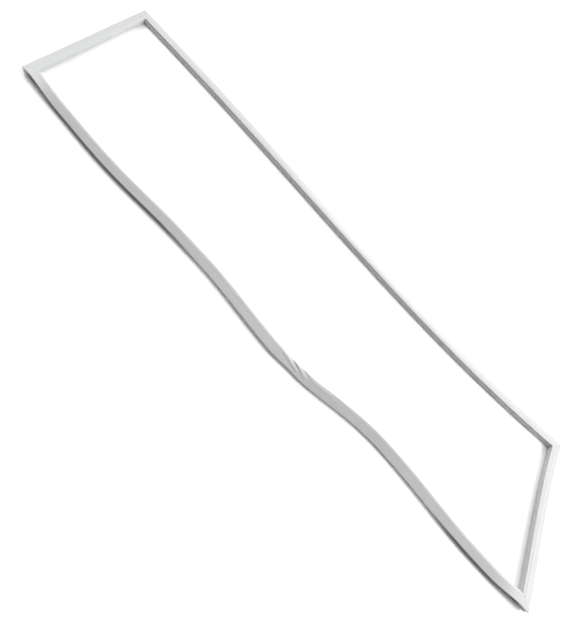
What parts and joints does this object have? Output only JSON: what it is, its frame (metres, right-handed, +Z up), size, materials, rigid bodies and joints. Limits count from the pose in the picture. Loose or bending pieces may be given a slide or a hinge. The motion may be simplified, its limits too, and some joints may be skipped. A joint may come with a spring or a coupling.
{
  "type": "refrigerator door gasket",
  "caption": "Closed loop of soft hollow vinyl profile with mitred welded corners, a push-in dart and magnetic strips in its sleeve, lying slack and wavy.",
  "frame": {"origin": "under the middle of the loop's box, at the height that the gasket rests on", "axes": "+Z up out of the sealing face; +Y along the box's long way, towards the top side of the door; +X towards the straight long side, away from the wavy one"},
  "size_m": [0.4466, 1.6838, 0.0254],
  "materials": {
    "vinyl": "satin off-white soft vinyl with faint lengthwise extrusion streaks",
    "magnet": "matt dark brown rubber-bonded ferrite, cut square at its ends"
  },
  "bodies": {
    "root": {"gasket_profile": "vinyl", "magnet_strip_left": "magnet", "magnet_strip_bottom": "magnet", "magnet_strip_right": "magnet", "magnet_strip_top": "magnet"}
  },
  "joints": []
}
